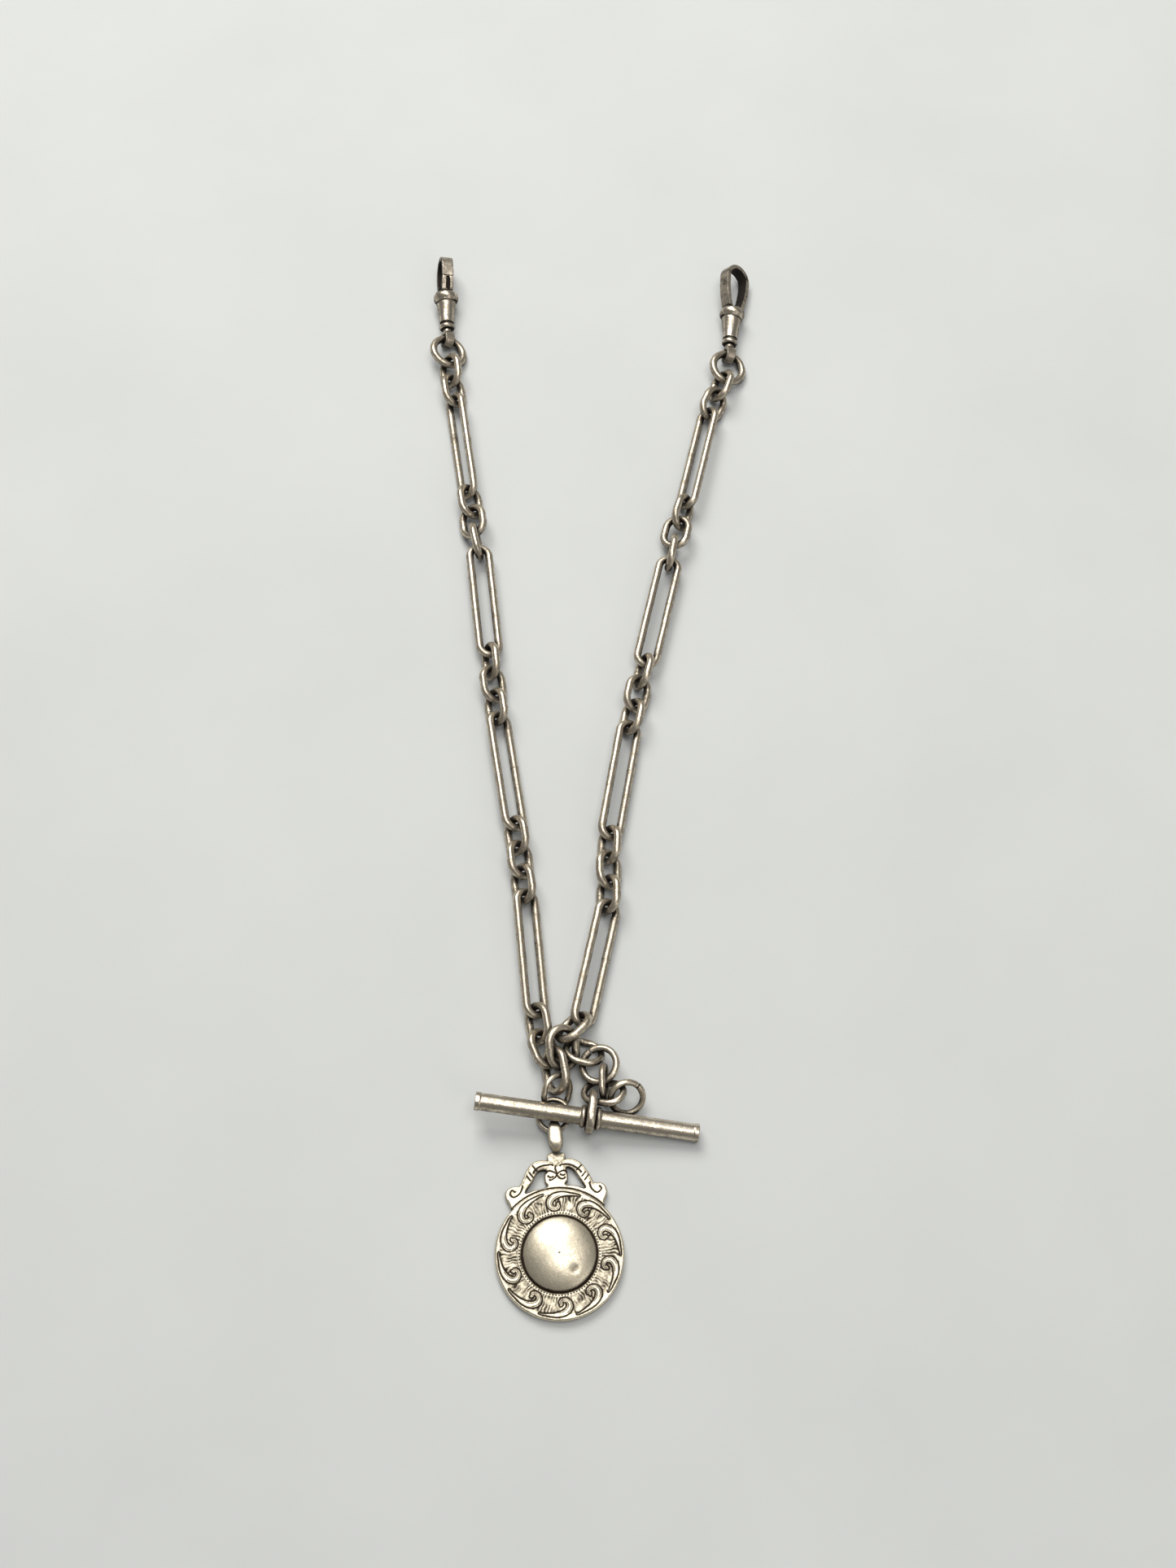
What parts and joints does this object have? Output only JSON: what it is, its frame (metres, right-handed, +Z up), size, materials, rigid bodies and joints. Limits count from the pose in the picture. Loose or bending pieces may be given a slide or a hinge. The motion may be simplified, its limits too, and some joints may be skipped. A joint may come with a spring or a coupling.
{
  "type": "pocket watch chain",
  "caption": "Double pocket watch chain with swivel clips, a T-bar and a round fob medal hanging from a centre ring.",
  "frame": {"origin": "centre of the footprint of the chain laid out flat, on the surface it lies on", "axes": "+Y from the fob medal towards the two watch clips, +X to the right, +Z up from the surface"},
  "size_m": [0.0714, 0.2326, 0.0077],
  "materials": {
    "link_silver": "worn, tarnished silver",
    "clip_silver": "worn, tarnished silver",
    "bar_silver": "worn, tarnished silver",
    "medal_silver": "worn silver with an engraved, darkened ground",
    "steel": "dull steel"
  },
  "bodies": {
    "central_ring": {"central_ring": "link_silver"},
    "centre_link": {"centre_link": "link_silver"},
    "left_small_link_13": {"left_small_link_13": "link_silver"},
    "left_small_link_12": {"left_small_link_12": "link_silver"},
    "right_small_link_12": {"right_small_link_12": "link_silver"},
    "drop_small_link": {"drop_small_link": "link_silver"},
    "drop_split_ring": {"drop_split_ring": "link_silver"},
    "drop_hanger_link": {"drop_hanger_link": "link_silver"},
    "drop_cross_link": {"drop_cross_link": "link_silver"},
    "spare_split_ring": {"spare_split_ring": "link_silver"},
    "fob_small_link": {"fob_small_link": "link_silver"},
    "fob_ring": {"fob_ring": "link_silver"},
    "left_long_link_4": {"left_long_link_4": "link_silver"},
    "left_small_link_11": {"left_small_link_11": "link_silver"},
    "left_small_link_10": {"left_small_link_10": "link_silver"},
    "left_small_link_09": {"left_small_link_09": "link_silver"},
    "left_long_link_3": {"left_long_link_3": "link_silver"},
    "left_small_link_08": {"left_small_link_08": "link_silver"},
    "left_small_link_07": {"left_small_link_07": "link_silver"},
    "left_small_link_06": {"left_small_link_06": "link_silver"},
    "left_long_link_2": {"left_long_link_2": "link_silver"},
    "left_small_link_05": {"left_small_link_05": "link_silver"},
    "left_small_link_04": {"left_small_link_04": "link_silver"},
    "left_small_link_03": {"left_small_link_03": "link_silver"},
    "left_long_link_1": {"left_long_link_1": "link_silver"},
    "left_small_link_02": {"left_small_link_02": "link_silver"},
    "left_small_link_01": {"left_small_link_01": "link_silver"},
    "left_end_ring": {"left_end_ring": "link_silver"},
    "right_long_link_4": {"right_long_link_4": "link_silver"},
    "right_small_link_11": {"right_small_link_11": "link_silver"},
    "right_small_link_10": {"right_small_link_10": "link_silver"},
    "right_small_link_09": {"right_small_link_09": "link_silver"},
    "right_long_link_3": {"right_long_link_3": "link_silver"},
    "right_small_link_08": {"right_small_link_08": "link_silver"},
    "right_small_link_07": {"right_small_link_07": "link_silver"},
    "right_small_link_06": {"right_small_link_06": "link_silver"},
    "right_long_link_2": {"right_long_link_2": "link_silver"},
    "right_small_link_05": {"right_small_link_05": "link_silver"},
    "right_small_link_04": {"right_small_link_04": "link_silver"},
    "right_small_link_03": {"right_small_link_03": "link_silver"},
    "right_long_link_1": {"right_long_link_1": "link_silver"},
    "right_small_link_02": {"right_small_link_02": "link_silver"},
    "right_small_link_01": {"right_small_link_01": "link_silver"},
    "right_end_ring": {"right_end_ring": "link_silver"},
    "t_bar_ring": {"t_bar_ring": "link_silver"},
    "t_bar": {"t_bar": "bar_silver"},
    "medal": {"medal_bail": "medal_silver", "medal_plate": "medal_silver", "medal_boss": "medal_silver"},
    "left_clip": {"left_clip_body": "clip_silver", "left_clip_gate_pin": "steel"},
    "left_gate": {"left_clip_gate": "clip_silver", "left_clip_gate_spring": "steel"},
    "left_swivel": {"left_clip_swivel_eye": "clip_silver"},
    "right_clip": {"right_clip_body": "clip_silver", "right_clip_gate_pin": "steel"},
    "right_gate": {"right_clip_gate": "clip_silver", "right_clip_gate_spring": "steel"},
    "right_swivel": {"right_clip_swivel_eye": "clip_silver"}
  },
  "joints": [
    {"name": "centre_link_swing", "type": "hinge", "parent": "central_ring", "child": "centre_link", "pos_m": [-0.00793, -0.06732, 0.00511], "axis": [-0.7605, -0.1022, 0.6412], "range_deg": [-3, 0.5]},
    {"name": "left_small_link_13_swing", "type": "hinge", "parent": "centre_link", "child": "left_small_link_13", "pos_m": [-0.00817, -0.06692, 0.00215], "axis": [0.5828, 0.2026, 0.7869], "range_deg": [-4, 10]},
    {"name": "left_small_link_12_swing", "type": "hinge", "parent": "left_small_link_13", "child": "left_small_link_12", "pos_m": [-0.01038, -0.06297, 0.00265], "axis": [0.7084, 0.1249, -0.6947], "range_deg": [-8, 8]},
    {"name": "right_small_link_12_swing", "type": "hinge", "parent": "central_ring", "child": "right_small_link_12", "pos_m": [-0.00376, -0.06356, 0.00417], "axis": [0.4438, -0.5932, -0.6716], "range_deg": [-8, 8]},
    {"name": "drop_small_link_swing", "type": "hinge", "parent": "central_ring", "child": "drop_small_link", "pos_m": [-0.00314, -0.06539, 0.0033], "axis": [-0.1869, -0.532, -0.8259], "range_deg": [-4, 3]},
    {"name": "drop_split_ring_swing", "type": "hinge", "parent": "drop_small_link", "child": "drop_split_ring", "pos_m": [0.00177, -0.06695, 0.00195], "axis": [-0.2629, 0.0492, 0.9636], "range_deg": [-1, 4]},
    {"name": "drop_hanger_link_swing", "type": "hinge", "parent": "drop_split_ring", "child": "drop_hanger_link", "pos_m": [0.00235, -0.07267, 0.00386], "axis": [-0.9846, 0.0202, -0.1736], "range_deg": [-1, 12]},
    {"name": "drop_cross_link_swing", "type": "hinge", "parent": "drop_hanger_link", "child": "drop_cross_link", "pos_m": [0.00274, -0.07248, 0.00067], "axis": [0.1978, -0.522, -0.8297], "range_deg": [-2, 0.5]},
    {"name": "spare_split_ring_swing", "type": "hinge", "parent": "drop_cross_link", "child": "spare_split_ring", "pos_m": [0.00584, -0.07439, 0.00403], "axis": [0.2266, -0.5718, 0.7885], "range_deg": [-4, 16]},
    {"name": "t_bar_ring_swing", "type": "hinge", "parent": "drop_cross_link", "child": "t_bar_ring", "pos_m": [-0.00136, -0.07539, 0.00295], "axis": [-0.9874, 0.123, 0.0993], "range_deg": [-1.5, 4]},
    {"name": "fob_small_link_swing", "type": "hinge", "parent": "centre_link", "child": "fob_small_link", "pos_m": [-0.00489, -0.07179, 0.00526], "axis": [0.5521, -0.4497, 0.7021], "range_deg": [-2, 10]},
    {"name": "fob_ring_swing", "type": "hinge", "parent": "fob_small_link", "child": "fob_ring", "pos_m": [-0.00538, -0.07655, 0.00058], "axis": [-0.0352, -0.0168, 0.9992], "range_deg": [-4, 3.5]},
    {"name": "medal_swing", "type": "hinge", "parent": "fob_ring", "child": "medal", "pos_m": [-0.00837, -0.08145, 0.00166], "axis": [-0.9945, -0.1045, 0], "range_deg": [-30, 10]},
    {"name": "t_bar_spin", "type": "hinge", "parent": "t_bar_ring", "child": "t_bar", "pos_m": [-0.00028, -0.07969, 0.00382], "axis": [0.9874, -0.123, -0.0993], "continuous": true},
    {"name": "left_long_link_4_swing", "type": "hinge", "parent": "left_small_link_12", "child": "left_long_link_4", "pos_m": [-0.0111, -0.05797, 0.00231], "axis": [0.5123, 0.0535, 0.8572], "range_deg": [-30, 30]},
    {"name": "left_small_link_11_swing", "type": "hinge", "parent": "left_long_link_4", "child": "left_small_link_11", "pos_m": [-0.01303, -0.0347, 0.00256], "axis": [0.7347, 0.112, -0.6691], "range_deg": [-30, 30]},
    {"name": "left_small_link_10_swing", "type": "hinge", "parent": "left_small_link_11", "child": "left_small_link_10", "pos_m": [-0.01391, -0.02962, 0.00272], "axis": [-0.689, -0.0884, -0.7193], "range_deg": [-30, 30]},
    {"name": "left_small_link_09_swing", "type": "hinge", "parent": "left_small_link_10", "child": "left_small_link_09", "pos_m": [-0.01469, -0.02451, 0.00272], "axis": [-0.7345, -0.1129, 0.6691], "range_deg": [-30, 30]},
    {"name": "left_long_link_3_swing", "type": "hinge", "parent": "left_small_link_09", "child": "left_long_link_3", "pos_m": [-0.01535, -0.01938, 0.00272], "axis": [0.5231, 0.0846, 0.848], "range_deg": [-30, 30]},
    {"name": "left_small_link_08_swing", "type": "hinge", "parent": "left_long_link_3", "child": "left_small_link_08", "pos_m": [-0.01934, 0.00357, 0.00274], "axis": [0.7564, 0.1211, -0.6428], "range_deg": [-30, 30]},
    {"name": "left_small_link_07_swing", "type": "hinge", "parent": "left_small_link_08", "child": "left_small_link_07", "pos_m": [-0.01995, 0.00868, 0.00279], "axis": [-0.6414, -0.0506, -0.7655], "range_deg": [-30, 30]},
    {"name": "left_small_link_06_swing", "type": "hinge", "parent": "left_small_link_07", "child": "left_small_link_06", "pos_m": [-0.02054, 0.01381, 0.00287], "axis": [-0.8775, -0.0978, 0.4694], "range_deg": [-30, 30]},
    {"name": "left_long_link_2_swing", "type": "hinge", "parent": "left_small_link_06", "child": "left_long_link_2", "pos_m": [-0.02081, 0.01888, 0.0036], "axis": [0.1736, 0.0109, 0.9848], "range_deg": [-12, 30]},
    {"name": "left_small_link_05_swing", "type": "hinge", "parent": "left_long_link_2", "child": "left_small_link_05", "pos_m": [-0.02292, 0.04194, 0.00305], "axis": [0.972, 0.1894, 0.1392], "range_deg": [-8, 30]},
    {"name": "left_small_link_04_swing", "type": "hinge", "parent": "left_small_link_05", "child": "left_small_link_04", "pos_m": [-0.02511, 0.0469, 0.00415], "axis": [-0.5088, 0.0273, 0.8605], "range_deg": [-8, 30]},
    {"name": "left_small_link_03_swing", "type": "hinge", "parent": "left_small_link_04", "child": "left_small_link_03", "pos_m": [-0.02629, 0.05197, 0.00211], "axis": [-0.6585, -0.1186, -0.7431], "range_deg": [-16, 30]},
    {"name": "left_long_link_1_swing", "type": "hinge", "parent": "left_small_link_03", "child": "left_long_link_1", "pos_m": [-0.02669, 0.05726, 0.00253], "axis": [0.7228, 0.1116, -0.682], "range_deg": [-30, 30]},
    {"name": "left_small_link_02_swing", "type": "hinge", "parent": "left_long_link_1", "child": "left_small_link_02", "pos_m": [-0.03012, 0.08031, 0.00242], "axis": [0.6877, 0.0985, 0.7193], "range_deg": [-30, 30]},
    {"name": "left_small_link_01_swing", "type": "hinge", "parent": "left_small_link_02", "child": "left_small_link_01", "pos_m": [-0.03076, 0.08541, 0.0025], "axis": [-0.7235, -0.1071, 0.682], "range_deg": [-30, 30]},
    {"name": "left_end_ring_swing", "type": "hinge", "parent": "left_small_link_01", "child": "left_end_ring", "pos_m": [-0.03165, 0.09051, 0.00252], "axis": [-0.4142, -0.0946, -0.9053], "range_deg": [-30, 30]},
    {"name": "right_long_link_4_swing", "type": "hinge", "parent": "right_small_link_12", "child": "right_long_link_4", "pos_m": [-0.00254, -0.05966, 0.00203], "axis": [0.5033, -0.1094, 0.8572], "range_deg": [-30, 8]},
    {"name": "right_small_link_11_swing", "type": "hinge", "parent": "right_long_link_4", "child": "right_small_link_11", "pos_m": [0.00376, -0.03702, 0.00245], "axis": [0.7422, -0.0399, -0.669], "range_deg": [-30, 30]},
    {"name": "right_small_link_10_swing", "type": "hinge", "parent": "right_small_link_11", "child": "right_small_link_10", "pos_m": [0.00333, -0.03176, 0.00252], "axis": [-0.6947, -0.0037, -0.7193], "range_deg": [-30, 30]},
    {"name": "right_small_link_09_swing", "type": "hinge", "parent": "right_small_link_10", "child": "right_small_link_09", "pos_m": [0.00341, -0.02659, 0.00258], "axis": [-0.7653, 0.0376, 0.6426], "range_deg": [-30, 30]},
    {"name": "right_long_link_3_swing", "type": "hinge", "parent": "right_small_link_09", "child": "right_long_link_3", "pos_m": [0.00349, -0.02144, 0.00245], "axis": [0.4484, -0.0716, 0.891], "range_deg": [-30, 30]},
    {"name": "right_small_link_08_swing", "type": "hinge", "parent": "right_long_link_3", "child": "right_small_link_08", "pos_m": [0.00715, 0.00147, 0.00297], "axis": [0.7278, -0.1504, -0.6691], "range_deg": [-12, 30]},
    {"name": "right_small_link_07_swing", "type": "hinge", "parent": "right_small_link_08", "child": "right_small_link_07", "pos_m": [0.00906, 0.0065, 0.00275], "axis": [-0.6185, 0.1783, -0.7653], "range_deg": [-30, 30]},
    {"name": "right_small_link_06_swing", "type": "hinge", "parent": "right_small_link_07", "child": "right_small_link_06", "pos_m": [0.01024, 0.01153, 0.00287], "axis": [-0.8583, 0.2074, 0.4694], "range_deg": [-30, 30]},
    {"name": "right_long_link_2_swing", "type": "hinge", "parent": "right_small_link_06", "child": "right_long_link_2", "pos_m": [0.01173, 0.01638, 0.00361], "axis": [0.1669, -0.0489, 0.9848], "range_deg": [-12, 30]},
    {"name": "right_small_link_05_swing", "type": "hinge", "parent": "right_long_link_2", "child": "right_small_link_05", "pos_m": [0.01678, 0.03923, 0.00322], "axis": [0.9762, -0.1899, -0.1045], "range_deg": [-30, 30]},
    {"name": "right_small_link_04_swing", "type": "hinge", "parent": "right_small_link_05", "child": "right_small_link_04", "pos_m": [0.01765, 0.04421, 0.00391], "axis": [0.2401, -0.107, -0.9648], "range_deg": [-30, 12]},
    {"name": "right_small_link_03_swing", "type": "hinge", "parent": "right_small_link_04", "child": "right_small_link_03", "pos_m": [0.01845, 0.04938, 0.00282], "axis": [-0.8244, 0.2652, -0.5], "range_deg": [-28, 30]},
    {"name": "right_long_link_1_swing", "type": "hinge", "parent": "right_small_link_03", "child": "right_long_link_1", "pos_m": [0.0205, 0.05423, 0.00304], "axis": [0.6219, -0.1632, -0.7659], "range_deg": [-30, 30]},
    {"name": "right_small_link_02_swing", "type": "hinge", "parent": "right_long_link_1", "child": "right_small_link_02", "pos_m": [0.02576, 0.07691, 0.00237], "axis": [0.6125, -0.2695, 0.7431], "range_deg": [-30, 30]},
    {"name": "right_small_link_01_swing", "type": "hinge", "parent": "right_small_link_02", "child": "right_small_link_01", "pos_m": [0.02823, 0.08148, 0.0025], "axis": [-0.6927, 0.2348, 0.6819], "range_deg": [-30, 30]},
    {"name": "right_end_ring_swing", "type": "hinge", "parent": "right_small_link_01", "child": "right_end_ring", "pos_m": [0.02917, 0.08653, 0.0021], "axis": [-0.35, 0.0297, -0.9363], "range_deg": [-12, 30]},
    {"name": "left_swivel_swing", "type": "hinge", "parent": "left_end_ring", "child": "left_swivel", "pos_m": [-0.03205, 0.09568, 0.00224], "axis": [0.9048, 0.0841, -0.4174], "range_deg": [-50, 50]},
    {"name": "left_clip_spin", "type": "hinge", "parent": "left_swivel", "child": "left_clip", "pos_m": [-0.03205, 0.09568, 0.00224], "axis": [-0.0556, 0.9953, 0.0798], "continuous": true},
    {"name": "left_gate_open", "type": "hinge", "parent": "left_clip", "child": "left_gate", "pos_m": [-0.03234, 0.10646, 0.00426], "axis": [0.9633, 0.0745, -0.258], "range_deg": [-32, 0], "stiffness_Nm_per_rad": 0.002, "springref_deg": 8.59},
    {"name": "right_swivel_swing", "type": "hinge", "parent": "right_end_ring", "child": "right_swivel", "pos_m": [0.03051, 0.09156, 0.0023], "axis": [0.9337, -0.0731, -0.3505], "range_deg": [-50, 50]},
    {"name": "right_clip_spin", "type": "hinge", "parent": "right_swivel", "child": "right_clip", "pos_m": [0.03051, 0.09156, 0.0023], "axis": [0.0957, 0.9943, 0.0478], "continuous": true},
    {"name": "right_gate_open", "type": "hinge", "parent": "right_clip", "child": "right_gate", "pos_m": [0.03245, 0.10235, 0.00201], "axis": [-0.6626, 0.0995, -0.7423], "range_deg": [-32, 0], "stiffness_Nm_per_rad": 0.002, "springref_deg": 8.59}
  ]
}
